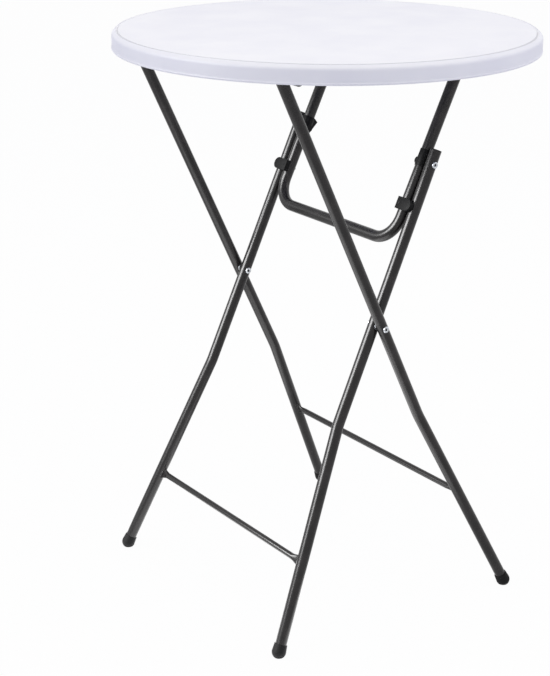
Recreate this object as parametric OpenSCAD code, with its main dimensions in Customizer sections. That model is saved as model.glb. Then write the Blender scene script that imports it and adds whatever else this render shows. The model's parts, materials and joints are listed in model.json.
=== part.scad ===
// Folding high table: a round moulded top on a scissor frame of steel tube.
// Origin: the floor under the centre of the top. +Z is up, +Y runs along the hinges,
// +X points to the feet of the outer frame. Left is +Y, right is -Y.

/* [Tabletop] */
// Diameter of the round top
top_d = 800; // [790:5:860]
// Height of the top face above the floor
table_h = 1100; // [1095:1:1110]
// Thickness of the moulded panel
panel_t = 20; // [16:1:24]
// Height of the rim, from its lower edge to the top face
rim_h = 34; // [30:1:38]
// Thickness of the rim wall at its lower edge
rim_wall = 12; // [9:1:14]
// Radius of the shoulder between the top face and the rim
shoulder_r = 7; // [5:0.5:9]
// Distance of the groove from the edge of the top
groove_inset = 8.5; // [8:0.5:12]
// Width of the groove
groove_w = 3; // [2:0.5:4]
// Depth of the groove
groove_depth = 1; // [0.6:0.1:1.5]
// Height of the rolled lip at the foot of the rim
lip_h = 5.5; // [4:0.5:7]
// How far the lip stands out from the rim
lip_out = 0.8; // [0.4:0.1:1.5]

/* [Linkage] */
// Depth of the scissor pivot below the hinge axes
scissor_drop = 485; // [478:1:492]
// Distance of the scissor pivot from the centre of the top, towards the middle frame's feet
scissor_x = -39; // [-45:1:-33]
// Lean of the outer frame when open, in degrees from the vertical
outer_lean = 25.85; // [25.35:0.05:26.35]
// Lean of the middle frame when open, in degrees from the vertical
middle_lean = 24.24; // [23.84:0.05:24.64]
// Depth of the lock bar's pivot on the middle frame below the hinge axes
rivet_drop = 199; // [193:1:205]
// Depth of the hinge axes below the underside of the panel
hinge_drop = 13; // [12:0.5:15]
// Slope of the outer legs when folded, in degrees below level
outer_fold = 1.2; // [0.8:0.1:1.6]
// Slope of the lock bar when folded, in degrees below level
lock_fold = 2.4; // [2:0.1:2.8]
// Clearance between the ends of the outer hinge tube and the rim
rim_gap = 22; // [18:0.5:26]

/* [Tubes] */
// Diameter of the outer frame's tube
outer_d = 21; // [19:0.5:22]
// Diameter of the middle frame's tube
middle_d = 22; // [20:0.5:23]
// Diameter of the lock bar's tube
lock_d = 22; // [20:0.5:23]
// Diameter of the two hinge tubes
hinge_d = 22; // [20:0.5:22.5]
// Diameter of the crossbars
bar_d = 12; // [10:0.5:13]
// Wall of all tubes
tube_wall = 1.2; // [1:0.1:2]
// Gap between the lock bar and the middle legs at their pivots
lock_gap = 1.8; // [1.6:0.1:3]
// Gap between the middle legs and the outer legs
scissor_gap = 3.5; // [3.2:0.1:5]
// Depth to which the outer legs are notched over their hinge tube
hinge_bite = 0.6; // [0.3:0.1:1]

/* [Legs] */
// Distance of the outer legs' bend below the scissor pivot
outer_bend = 215; // [200:5:230]
// Distance of the middle legs' bend below the scissor pivot
middle_bend = 200; // [190:5:215]
// Inward lean of the middle legs above their bend, in degrees
middle_toe = 0.7; // [0.4:0.1:0.8]
// Half the distance between the outer feet
outer_foot_half = 305; // [295:1:315]
// Half the distance between the middle feet
middle_foot_half = 273; // [265:1:280]
// Radius of the bends, on the tube's axis
bend_r = 120; // [80:10:160]
// Length of the outer legs above the foot of their hinge
outer_top = 7; // [4:1:9]
// Length of the middle legs above the lock bar's pivot
middle_top = 26; // [22:1:32]
// Distance of the outer crossbar below the scissor pivot
outer_bar_drop = 406; // [395:1:415]
// Distance of the middle crossbar below the scissor pivot
middle_bar_drop = 460; // [450:1:470]
// Width of the crossbars' flattened ends
bar_end_w = 22; // [18:1:26]
// Thickness of the crossbars' flattened ends
bar_end_t = 5; // [4:0.5:7]
// Length over which a crossbar flattens
bar_end_l = 20; // [14:1:26]
// How far a crossbar's pressed ends stand out where they leave the round bar
bar_collar = 0.25; // [0.2:0.05:0.4]

/* [Lock bar] */
// Distance of the lock bar's lower stretch below its pivot
lock_drop = 158.5; // [150:0.5:168]
// Radius of the lock bar's two bends, on the tube's axis
lock_bend_r = 50; // [40:1:60]
// Distance of the lock clips below the pivot
clip_drop = 86; // [75:1:92]
// Length of a lock clip along the tube
clip_l = 23; // [18:1:28]
// Height of a lock clip in front of the lock bar's axis
clip_h = 18.5; // [17:0.5:21]
// How far a lock clip reaches down the sides of the tubes, in front of their axes
clip_skirt = 4; // [3:0.5:6]
// Reach of a lock clip past the lock bar's axis, away from the middle leg
clip_inner = 7; // [6:0.5:9]
// Clearance of a lock clip round the middle leg
clip_gap = 0.3; // [0.3:0.05:0.6]
// Distance of the centre of a lock clip's round end from the middle leg's axis
clip_end = 5.75; // [5:0.25:7]
// Thickness of a lock clip over the tip of its screw
clip_cover = 3; // [2:0.5:4]

/* [Rivets] */
// Diameter of the tubular rivets
rivet_d = 8; // [6:0.5:9]
// Bore of the tubular rivets
rivet_bore = 4.6; // [3:0.2:5.4]
// Diameter of the rivet heads
rivet_head_d = 12.6; // [11:0.2:15]
// Thickness of the rivet heads
rivet_head_t = 2; // [1.6:0.1:2.4]
// Diameter of the washers in the scissor gap
washer_d = 15; // [13:0.5:17]
// Thickness of the washers in the scissor gap
washer_t = 1.5; // [1:0.1:1.5]
// Radial clearance of a running rivet or hinge tube in its bore
running_gap = 0.06; // [0.04:0.01:0.08]

/* [Pivot blocks] */
// Length of a pivot block's sleeve below the pivot
block_below = 10; // [9:0.5:12]
// Length of a pivot block's sleeve above the pivot
block_above = 23; // [20:1:26]
// Wall of the sleeve round the lock bar
block_wall = 1.2; // [1:0.1:1.2]
// Reach of a pivot block's fin behind the lock bar's axis
fin_reach = 21.5; // [18:0.5:24]
// Height of the fin's tip above the pivot
fin_tip = 18.5; // [15:0.5:21]
// Thickness of the fin
fin_t = 10; // [6:0.5:14]
// Depth of the fin's lower corner below the pivot
fin_low = 3.5; // [2:0.5:6]
// How far the fin's lower corner stands out from the sleeve
fin_foot = 1; // [0.5:0.1:2]
// Thickness of the cap over the inner end of the rivet
block_cap = 1.5; // [1:0.1:2]

/* [Feet] */
// Largest diameter of a foot
foot_d = 27; // [25:0.5:29]
// Diameter of a foot at its upper edge
foot_top_d = 24.4; // [24:0.2:25]
// Length of a foot along the leg
foot_l = 25; // [22:1:32]
// Height of the ball of a foot above the floor, along the leg
foot_ball = 10.5; // [9:0.5:12]
// Thickness of a foot under the end of its tube
foot_sole = 7; // [6:0.5:9]

/* [Hinge blocks] */
// Distance of the outer frame's hinge blocks from its legs, towards the middle
outer_block_inset = 64; // [48:2:84]
// Distance of the lock bar's hinge blocks from its arms, towards the middle
lock_block_inset = 52; // [36:2:72]
// Width of a hinge block along the hinge
hinge_block_w = 30; // [24:1:36]
// Wall of a hinge block round its tube
hinge_block_wall = 4; // [3:0.5:4.5]
// Length of a hinge block's base along the panel
hinge_base_l = 62; // [56:1:68]
// Thickness of a hinge block's base
hinge_base_t = 5; // [4:0.5:7]
// Distance from the hinge axis to each screw
hinge_screw_x = 23; // [21.5:0.5:25]
// Length of the outer hinge tube beyond the outer legs
outer_stub = 8; // [5:1:10]
// Length of the lock bar's hinge tube beyond the arms
lock_stub = 3; // [2:0.5:4]

/* [Storage clips] */
// Clearance between the bases of the storage clips and the rim
store_rim_gap = 2; // [1:0.5:4]
// Length of a storage clip along the leg
store_l = 12; // [10:1:13]
// Length of a storage clip's base
store_base_l = 44; // [40:1:48]
// Thickness of a storage clip's base
store_base_t = 3.6; // [3:0.2:4.4]
// Wall of a storage clip
store_wall = 2.4; // [2:0.1:2.6]
// Clearance of a storage clip beside the folded leg
store_gap = 0.4; // [0.3:0.05:0.5]
// Depth of the storage clips below the underside of the panel
store_drop = 49; // [46:1:52]

/* [Screws] */
// Diameter of the screws' shanks
screw_d = 4; // [3:0.5:5]
// Diameter of the screws' heads
screw_head_d = 8; // [7:0.5:9]
// Thickness of the screws' heads
screw_head_t = 2.6; // [2:0.1:3.4]
// Bevel of the screws' heads
screw_bevel = 1; // [0.5:0.1:1.4]
// Depth of the screws in the panel
screw_depth = 12; // [8:1:14]
// Distance from a screw's head to the end of a storage clip's base
screw_margin = 2; // [1:0.5:3]

/* [Underside] */
// Distance between the rings of dimples in the underside
dimple_pitch = 72; // [60:4:84]
// Number of rings of dimples
dimple_rings = 4; // [2:1:4]
// Diameter of a dimple at the underside
dimple_d = 18; // [12:1:22]
// Diameter of a dimple at its floor
dimple_floor_d = 9; // [5:1:11]
// Depth of a dimple
dimple_depth = 5; // [3:0.5:7]

/* [Hidden] */
$fn = 64;

// Finishes
powder_coat = "#4a4848";
black_plastic = "#2b2b2c";
white_plastic = "#f0f0f2";
bare_steel = "#b9bcc0";

// Heights
top_r = top_d / 2;
underside_z = table_h - panel_t;
rim_z = table_h - rim_h;
hinge_z = underside_z - hinge_drop;
scissor_z = hinge_z - scissor_drop;
rivet_z = hinge_z - rivet_drop;

// The two frames cross at the scissor pivot, this far up the legs from the floor
outer_floor = scissor_z / cos(outer_lean);
middle_floor = scissor_z / cos(middle_lean);
rivet_x = scissor_x + (rivet_z - scissor_z) * tan(middle_lean);
rivet_up = (rivet_z - scissor_z) / cos(middle_lean);

// The outer legs lie against the lower side of their hinge tube
hinge_offset = (outer_d + hinge_d) / 2 - hinge_bite;
outer_reach = (scissor_drop - hinge_offset * sin(outer_lean)) / cos(outer_lean);
outer_hinge_x = scissor_x - outer_reach * sin(outer_lean) + hinge_offset * cos(outer_lean);

// Folded, the scissor pivot lies here
folded_scissor_x = outer_hinge_x + outer_reach * cos(outer_fold) - hinge_offset * sin(outer_fold);
folded_scissor_z = hinge_z - outer_reach * sin(outer_fold) - hinge_offset * cos(outer_fold);

// The lock bar's hinge lies where the linkage closes both open and folded
function arm(x) = norm([x - rivet_x, rivet_drop]);
function closing_error(x) = norm([
    folded_scissor_x - (x - arm(x) * cos(lock_fold)),
    folded_scissor_z - (hinge_z - arm(x) * sin(lock_fold))
]) - rivet_up;
function close_linkage(low, high, steps) =
    steps == 0 ? (low + high) / 2 :
    let (middle = (low + high) / 2)
    closing_error(middle) > 0 ? close_linkage(middle, high, steps - 1)
                              : close_linkage(low, middle, steps - 1);
bisections = 44;
lock_hinge_x = close_linkage(rivet_x, top_r, bisections);
lock_lean = atan((lock_hinge_x - rivet_x) / rivet_drop);
lock_reach = arm(lock_hinge_x);

// Half the frames' widths, from the rim inwards
plug_t = 2;
rim_inner_r = top_r - lip_out - rim_wall;
outer_hinge_half = sqrt(pow(rim_inner_r - rim_gap, 2) - pow(hinge_d / 2 - outer_hinge_x, 2)) - plug_t;
outer_half = outer_hinge_half - outer_stub - outer_d / 2;
middle_half = outer_half - outer_d / 2 - scissor_gap - middle_d / 2;
function middle_half_at(up) = middle_half - up * tan(middle_toe);
rivet_half = middle_half_at(rivet_up);
// The arms are set to a hundredth of a millimetre
lock_half = round(100 * (rivet_half - middle_d / 2 - lock_gap - lock_d / 2)) / 100;
lock_hinge_half = lock_half + lock_d / 2 + lock_stub;

// Splay of the legs below their bends
middle_bend_half = middle_half_at(-middle_bend);
outer_splay = atan((outer_foot_half - outer_half) / (outer_floor - outer_bend));
middle_splay = atan((middle_foot_half - middle_bend_half) / (middle_floor - middle_bend));
outer_low = (outer_floor - outer_bend) / cos(outer_splay);
middle_low = (middle_floor - middle_bend) / cos(middle_splay);

// Half the frames' width at their crossbars
outer_bar_half = outer_half + (outer_bar_drop - outer_bend) * tan(outer_splay);
middle_bar_half = middle_bend_half + (middle_bar_drop - middle_bend) * tan(middle_splay);

// Places of the hinge blocks and the storage clips on the underside
outer_block_y = outer_half - outer_block_inset;
lock_block_y = lock_half - lock_block_inset;
store_inner = middle_d / 2 + store_gap;
store_outer = store_inner + store_wall;
store_x = sqrt(pow(rim_inner_r - store_rim_gap, 2) - pow(middle_half + store_outer, 2)) - store_base_l / 2;
store_screw_x = store_base_l / 2 - screw_head_d / 2 - screw_margin;

// Offset of the middle leg's axis behind the lock bar's at the clips
clip_lag = clip_drop * tan(lock_lean - middle_lean);
plug_depth = 12;
slack = 0.05;
// The tube is a hair thinner below its bend, where it was drawn
draw_step = 0.1;
cut = 1;

// Frames of reference
module outer_frame_at() {
    translate([scissor_x, 0, scissor_z]) rotate([0, -outer_lean, 0]) children();
}

module middle_frame_at() {
    translate([scissor_x, 0, scissor_z]) rotate([0, middle_lean, 0]) children();
}

module lock_frame_at() {
    translate([rivet_x, 0, rivet_z]) rotate([0, lock_lean, 0]) children();
}

module side(left) {
    if (left) children();
    else mirror([0, 1, 0]) children();
}

module both_sides() {
    for (left = [true, false]) side(left) children();
}

// A cylinder along Y from one place to another
module rod_y(d, from, to) {
    translate([0, to, 0]) rotate([90, 0, 0]) cylinder(d = d, h = to - from);
}

module tube_y(d, half) {
    difference() {
        rod_y(d, -half, half);
        rod_y(d - 2 * tube_wall, -half - cut, half + cut);
    }
}

module below_floor() {
    reach = top_d;
    translate([-reach, -reach, -table_h]) cube([2 * reach, 2 * reach, table_h]);
}

// Tabletop
module rim_section() {
    wall_r = top_r - lip_out;
    groove_r = top_r - groove_inset;
    difference() {
        union() {
            translate([0, underside_z]) square([wall_r - shoulder_r, panel_t]);
            translate([0, underside_z]) square([wall_r, panel_t - shoulder_r]);
            translate([wall_r - shoulder_r, table_h - shoulder_r]) circle(r = shoulder_r);
            translate([wall_r - rim_wall, rim_z + lip_h / 2])
                square([rim_wall, rim_h - lip_h / 2 - shoulder_r]);
            translate([top_r - rim_wall, rim_z]) square([rim_wall - lip_h / 2, lip_h]);
            translate([top_r - lip_h / 2, rim_z + lip_h / 2]) circle(d = lip_h);
        }
        polygon([
            [groove_r - groove_w / 2, table_h + cut], [groove_r - groove_w / 2, table_h],
            [groove_r, table_h - groove_depth],
            [groove_r + groove_w / 2, table_h], [groove_r + groove_w / 2, table_h + cut]
        ]);
    }
}

// Dimples join the two skins of the top. They keep clear of all that is screwed to it.
fixed_places = [
    for (way = [1, -1]) each [
        [outer_hinge_x, way * outer_block_y], [lock_hinge_x, way * lock_block_y],
        [store_x, way * middle_half]
    ]
];
function clear_of_fixed(place) =
    min([for (fixed = fixed_places) norm(place - fixed)]) > hinge_base_l / 2 + dimple_d / 2;

module dimple_places() {
    for (ring = [1:dimple_rings], index = [0:6 * ring - 1]) {
        angle = (index + 0.5) * 360 / (6 * ring);
        place = ring * dimple_pitch * [cos(angle), sin(angle)];
        if (clear_of_fixed(place)) translate([place[0], place[1], underside_z]) children();
    }
}

module tabletop() {
    color(white_plastic) difference() {
        rotate_extrude($fn = 180) rim_section();
        dimple_places() translate([0, 0, -cut])
            cylinder(d1 = dimple_d + cut, d2 = dimple_floor_d, h = dimple_depth + cut, $fn = 24);
        hinge_screw_places() translate([0, 0, -cut]) cylinder(d = screw_d, h = screw_depth + cut);
        storage_screw_places() translate([0, 0, -cut]) cylinder(d = screw_d, h = screw_depth + cut);
    }
}

// Hinge blocks: a moulded block on the underside, bored for its hinge tube
module hinge_block_at(x, y) {
    translate([x, y, hinge_z]) children();
}

module each_hinge_block() {
    for (place = [[outer_hinge_x, outer_block_y], [lock_hinge_x, lock_block_y]])
        for (way = [1, -1]) hinge_block_at(place[0], way * place[1]) children();
}

module hinge_screw_places() {
    each_hinge_block() for (way = [1, -1])
        translate([way * hinge_screw_x, 0, hinge_drop]) children();
}

module hinge_block() {
    body_r = hinge_d / 2 + hinge_block_wall;
    color(black_plastic) difference() {
        translate([0, hinge_block_w / 2, 0]) rotate([90, 0, 0])
            linear_extrude(hinge_block_w) difference() {
                union() {
                    intersection() {
                        circle(r = body_r);
                        translate([-body_r, -body_r]) square([2 * body_r, body_r + hinge_drop]);
                    }
                    translate([-body_r, 0]) square([2 * body_r, hinge_drop]);
                    translate([-hinge_base_l / 2, hinge_drop - hinge_base_t])
                        square([hinge_base_l, hinge_base_t]);
                }
                circle(r = hinge_d / 2 + running_gap);
            }
        for (way = [1, -1]) translate([way * hinge_screw_x, 0, 0])
            cylinder(d = screw_d, h = hinge_drop + cut);
    }
}

module screw(grip) {
    // The head lies under the piece that it holds, the shank points up
    translate([0, 0, -grip]) cylinder(d = screw_d, h = grip + screw_depth - cut);
    translate([0, 0, -grip - screw_head_t])
        cylinder(d1 = screw_head_d - 2 * screw_bevel, d2 = screw_head_d, h = screw_head_t);
}

module outer_hinge_block_left() hinge_block_at(outer_hinge_x, outer_block_y) hinge_block();
module outer_hinge_block_right() hinge_block_at(outer_hinge_x, -outer_block_y) hinge_block();
module lock_hinge_block_left() hinge_block_at(lock_hinge_x, lock_block_y) hinge_block();
module lock_hinge_block_right() hinge_block_at(lock_hinge_x, -lock_block_y) hinge_block();
module hinge_block_screws() color(bare_steel) hinge_screw_places() screw(hinge_base_t);

// Storage clips: forks on the underside that hold the folded middle legs
module storage_clip_at() {
    translate([store_x, middle_half, underside_z]) children();
}

module storage_screw_places() {
    both_sides() storage_clip_at() for (way = [1, -1])
        translate([way * store_screw_x, 0, 0]) children();
}

module storage_clip() {
    tip_z = store_wall / 2 - store_drop;
    color(black_plastic) storage_clip_at() difference() {
        union() {
            translate([-store_base_l / 2, -store_outer, -store_base_t])
                cube([store_base_l, 2 * store_outer, store_base_t]);
            translate([-store_l / 2, 0, 0]) rotate([90, 0, 90]) linear_extrude(store_l) {
                translate([-store_outer, tip_z]) square([store_wall, -tip_z]);
                translate([store_inner, tip_z]) square([store_wall, -tip_z]);
                for (way = [1, -1]) translate([way * (store_inner + store_outer) / 2, tip_z])
                    circle(d = store_wall);
            }
        }
        for (way = [1, -1]) translate([way * store_screw_x, 0, -store_base_t - cut])
            cylinder(d = screw_d, h = store_base_t + 2 * cut);
    }
}

module storage_clip_left() side(true) storage_clip();
module storage_clip_right() side(false) storage_clip();
module storage_clip_screws() color(bare_steel) storage_screw_places() screw(store_base_t);

// A leg: straight above its bend, splayed outwards below it
module leg_form(d, top, bend, splay, low) {
    tangent = bend_r * tan(splay / 2);
    translate([0, 0, -bend + tangent]) cylinder(d = d, h = top + bend - tangent);
    translate([0, bend_r, -bend + tangent]) rotate([-90, 0, 0]) rotate([0, 90, 0])
        rotate_extrude(angle = splay) translate([bend_r, 0]) circle(d = d);
    translate([0, 0, -bend]) rotate([splay, 0, 0]) translate([0, 0, -low])
        cylinder(d = d - draw_step, h = low - tangent + cut);
}

module leg_tube(d, top, bend, splay, low) {
    difference() {
        leg_form(d, top, bend, splay, low - foot_sole);
        leg_form(d - 2 * tube_wall, top + cut, bend, splay, low - foot_sole + cut);
    }
}

// A foot: a rubber cap on the end of a leg, flattened where it stands
module foot_form(d, bend, splay, low) {
    translate([0, 0, -bend]) rotate([splay, 0, 0]) translate([0, 0, -low]) difference() {
        union() {
            translate([0, 0, foot_ball]) sphere(d = foot_d);
            translate([0, 0, foot_ball]) cylinder(d1 = foot_d, d2 = foot_top_d, h = foot_l - foot_ball);
        }
        translate([0, 0, foot_sole]) cylinder(d = d, h = foot_l);
    }
}

// A plug: a thin disc that closes a tube, with a stem that grips inside it
module plug(d) {
    cylinder(d = d, h = plug_t);
    translate([0, 0, -plug_depth]) cylinder(d = d - 2 * tube_wall, h = plug_depth);
}

// A crossbar: a round bar whose ends are pressed flat and shaped to the legs
module crossbar_form(half, leg_d) {
    round_half = half - leg_d / 2 - bar_end_l;
    rod_y(bar_d, -round_half, round_half);
    both_sides() hull() {
        rod_y(bar_d + 2 * bar_collar, round_half - cut, round_half, $fn = 32);
        translate([-bar_end_t / 2, half - cut, -bar_end_w / 2]) cube([bar_end_t, cut, bar_end_w]);
    }
}

// Outer frame
module outer_leg_solid(d) {
    translate([0, outer_half, 0]) leg_form(d, outer_reach + outer_top, outer_bend, outer_splay, outer_low);
}

module outer_hinge_axis() {
    translate([hinge_offset, 0, outer_reach]) children();
}

module outer_leg() {
    color(powder_coat) outer_frame_at() difference() {
        translate([0, outer_half, 0])
            leg_tube(outer_d, outer_reach + outer_top, outer_bend, outer_splay, outer_low);
        outer_hinge_axis() rod_y(hinge_d, 0, outer_hinge_half + cut);
        rod_y(rivet_d, 0, outer_half + outer_d);
    }
}

module outer_leg_left() side(true) outer_leg();
module outer_leg_right() side(false) outer_leg();

module outer_foot() {
    color(black_plastic) difference() {
        outer_frame_at() translate([0, outer_half, 0])
            foot_form(outer_d, outer_bend, outer_splay, outer_low);
        below_floor();
    }
}

module outer_foot_left() side(true) outer_foot();
module outer_foot_right() side(false) outer_foot();

module outer_leg_plugs() {
    color(black_plastic) both_sides() outer_frame_at() difference() {
        translate([0, outer_half, outer_reach + outer_top]) plug(outer_d);
        outer_hinge_axis() rod_y(hinge_d, 0, outer_hinge_half + cut);
    }
}

module outer_crossbar() {
    color(powder_coat) outer_frame_at() difference() {
        translate([0, 0, -outer_bar_drop]) crossbar_form(outer_bar_half, outer_d);
        both_sides() outer_leg_solid(outer_d);
    }
}

module outer_hinge_tube() {
    color(powder_coat) outer_frame_at() outer_hinge_axis() tube_y(hinge_d, outer_hinge_half);
}

module outer_hinge_plugs() {
    color(black_plastic) both_sides() outer_frame_at() outer_hinge_axis()
        translate([0, outer_hinge_half, 0]) rotate([-90, 0, 0]) plug(hinge_d);
}

// A tubular rivet along Y, with a rolled head at its outer end
module rivet(from, to, head_d, head_t) {
    difference() {
        union() {
            rod_y(rivet_d, from, to);
            translate([0, to, 0]) rotate([-90, 0, 0])
                cylinder(d1 = head_d, d2 = head_d - head_t, h = head_t);
        }
        rod_y(rivet_bore, from - cut, to + head_t + cut);
    }
}

module washer(from, to) {
    difference() {
        rod_y(washer_d, from, to);
        rod_y(rivet_bore, from - cut, to + cut);
    }
}

module outer_scissor_rivets() {
    inner_face = outer_half - outer_d / 2;
    color(bare_steel) both_sides() outer_frame_at() {
        rivet(inner_face, outer_half + outer_d / 2, rivet_head_d, rivet_head_t);
        washer(inner_face - washer_t, inner_face);
    }
}

// Middle frame. Its legs lean inwards above their bends.
module middle_leg_at() {
    translate([0, middle_half, 0]) rotate([middle_toe, 0, 0]) children();
}

middle_turn = middle_splay - middle_toe;

module middle_leg() {
    color(powder_coat) middle_frame_at() difference() {
        middle_leg_at() leg_tube(middle_d, rivet_up + middle_top, middle_bend, middle_turn, middle_low);
        rod_y(rivet_d, 0, middle_half + middle_d);
        translate([0, 0, rivet_up]) rod_y(rivet_d + 2 * running_gap, 0, middle_half + middle_d);
    }
}

module middle_leg_left() side(true) middle_leg();
module middle_leg_right() side(false) middle_leg();

module middle_leg_plugs() {
    color(black_plastic) both_sides() middle_frame_at() middle_leg_at()
        translate([0, 0, rivet_up + middle_top]) plug(middle_d);
}

module middle_crossbar() {
    color(powder_coat) middle_frame_at() difference() {
        translate([0, 0, -middle_bar_drop]) crossbar_form(middle_bar_half, middle_d);
        both_sides() middle_leg_at()
            leg_form(middle_d, rivet_up, middle_bend, middle_turn, middle_low);
    }
}

module middle_foot() {
    color(black_plastic) difference() {
        middle_frame_at() middle_leg_at() foot_form(middle_d, middle_bend, middle_turn, middle_low);
        below_floor();
    }
}

module middle_foot_left() side(true) middle_foot();
module middle_foot_right() side(false) middle_foot();

module inner_scissor_rivets() {
    inner_face = middle_half - middle_d / 2;
    outer_face = middle_half + middle_d / 2;
    color(bare_steel) both_sides() middle_frame_at() {
        mirror([0, 1, 0]) rivet(-outer_face, -inner_face, rivet_head_d, rivet_head_t);
        washer(outer_face, outer_face + washer_t);
    }
}

// Lock bar: one bent tube, hung from its own hinge tube
module lock_form(d, up) {
    corner = lock_half - lock_bend_r;
    both_sides() {
        translate([0, lock_half, -lock_drop + lock_bend_r])
            cylinder(d = d, h = lock_drop - lock_bend_r + up);
        translate([0, corner, -lock_drop + lock_bend_r]) rotate([90, 0, 90]) rotate([0, 0, -90])
            rotate_extrude(angle = 90) translate([lock_bend_r, 0]) circle(d = d);
    }
    translate([0, 0, -lock_drop]) rod_y(d, -corner, corner);
}

module lock_bar() {
    color(powder_coat) lock_frame_at() difference() {
        lock_form(lock_d, lock_reach);
        lock_form(lock_d - 2 * tube_wall, lock_reach + cut);
        translate([0, 0, lock_reach]) rod_y(hinge_d, -lock_hinge_half - cut, lock_hinge_half + cut);
        both_sides() rod_y(rivet_d, lock_half - lock_d, lock_half + lock_d);
        clip_screw_places() translate([0, 0, -lock_d]) cylinder(d = screw_d, h = 2 * lock_d);
    }
}

module lock_hinge_tube() {
    color(powder_coat) lock_frame_at() translate([0, 0, lock_reach]) tube_y(hinge_d, lock_hinge_half);
}

module lock_hinge_plugs() {
    color(black_plastic) both_sides() lock_frame_at() translate([0, lock_hinge_half, lock_reach])
        rotate([-90, 0, 0]) plug(hinge_d);
}

// Lock clips: stops on the lock bar that come down over the middle legs
module clip_screw_places() {
    // The screws point forwards, through the tube into the clip
    both_sides() translate([0, lock_half, -clip_drop]) rotate([0, -90, 0]) children();
}

module lock_clip() {
    reach = middle_half_at(rivet_up - clip_drop) - lock_half;
    round_y = reach - clip_end;
    color(black_plastic) lock_frame_at() translate([0, lock_half, -clip_drop]) difference() {
        translate([-clip_h, 0, 0]) rotate([0, 90, 0]) linear_extrude(clip_h - clip_skirt) union() {
            translate([-clip_l / 2, -clip_inner]) square([clip_l, clip_inner + round_y]);
            intersection() {
                translate([0, round_y]) circle(d = clip_l);
                translate([-clip_l / 2, 0]) square([clip_l, reach + clip_l]);
            }
        }
        translate([0, 0, -clip_l]) cylinder(d = lock_d, h = 2 * clip_l);
        translate([clip_lag, reach, 0]) rotate([0, middle_lean - lock_lean, 0]) rotate([middle_toe, 0, 0])
            translate([0, 0, -clip_l]) cylinder(d = middle_d + 2 * clip_gap, h = 2 * clip_l);
        rotate([0, -90, 0]) cylinder(d = screw_d, h = clip_h - clip_cover);
    }
}

module lock_clip_left() side(true) lock_clip();
module lock_clip_right() side(false) lock_clip();

module lock_clip_screws() {
    color(bare_steel) lock_frame_at() clip_screw_places() {
        translate([0, 0, -lock_d / 2]) cylinder(d = screw_d, h = lock_d / 2 + clip_h - clip_cover - cut);
        difference() {
            translate([0, 0, -lock_d / 2 - screw_head_t])
                cylinder(d = screw_head_d, h = screw_head_t + lock_d / 2);
            rotate([0, 90, 0]) translate([0, 0, -lock_d]) cylinder(d = lock_d, h = 2 * lock_d);
        }
    }
}

// Rivets that join the lock bar to the middle legs, tight in the bar and running in the legs
module lock_rivet() {
    inner_face = lock_half - lock_d / 2;
    // The head clears the leg, which leans under it
    head_rise = rivet_head_d / 2 * tan(middle_toe);
    outer_face = rivet_half + middle_d / 2 / cos(middle_toe) + head_rise;
    color(bare_steel) lock_frame_at() {
        rivet(inner_face, outer_face + slack, rivet_head_d, rivet_head_t);
        difference() {
            rod_y(rivet_head_d, inner_face - rivet_head_t, inner_face);
            rod_y(rivet_bore, inner_face - rivet_head_t - cut, inner_face + cut);
        }
    }
}

module lock_rivet_left() side(true) lock_rivet();
module lock_rivet_right() side(false) lock_rivet();

// Pivot blocks: sleeves on the lock bar, with a cap over the rivet and a fin behind
module pivot_block() {
    sleeve_d = lock_d + 2 * block_wall;
    cap_y = -lock_d / 2 - rivet_head_t - block_cap;
    color(black_plastic) lock_frame_at() translate([0, lock_half, 0]) difference() {
        union() {
            translate([0, 0, -block_below]) cylinder(d = sleeve_d, h = block_below + block_above);
            rod_y(rivet_head_d + 2 * block_wall, cap_y, 0);
            translate([0, fin_t / 2, 0]) rotate([90, 0, 0]) linear_extrude(fin_t) polygon([
                [0, block_above], [sleeve_d / 2, block_above], [fin_reach, fin_tip],
                [sleeve_d / 2 + fin_foot, -fin_low], [sleeve_d / 2 - fin_foot, -block_below],
                [0, -block_below]
            ]);
        }
        translate([0, 0, -block_below - cut]) cylinder(d = lock_d, h = block_below + block_above + 2 * cut);
        rod_y(rivet_d, 0, lock_d);
        rod_y(rivet_head_d, -lock_d / 2 - rivet_head_t, 0);
    }
}

module pivot_block_left() side(true) pivot_block();
module pivot_block_right() side(false) pivot_block();

tabletop();
outer_hinge_block_left();
outer_hinge_block_right();
lock_hinge_block_left();
lock_hinge_block_right();
hinge_block_screws();
storage_clip_left();
storage_clip_right();
storage_clip_screws();
outer_hinge_tube();
outer_hinge_plugs();
outer_leg_left();
outer_leg_right();
outer_leg_plugs();
outer_crossbar();
outer_foot_left();
outer_foot_right();
outer_scissor_rivets();
middle_leg_left();
middle_leg_right();
middle_leg_plugs();
middle_crossbar();
middle_foot_left();
middle_foot_right();
inner_scissor_rivets();
lock_bar();
lock_hinge_tube();
lock_hinge_plugs();
lock_clip_left();
lock_clip_right();
lock_clip_screws();
lock_rivet_left();
lock_rivet_right();
pivot_block_left();
pivot_block_right();
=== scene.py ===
"""Dresses the folding high table: finishes, welds, screws, rivets, light and camera."""
import json
import logging
import math
from dataclasses import dataclass, field
from enum import Enum

import bmesh
import bpy
from mathutils import Matrix, Vector


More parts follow.
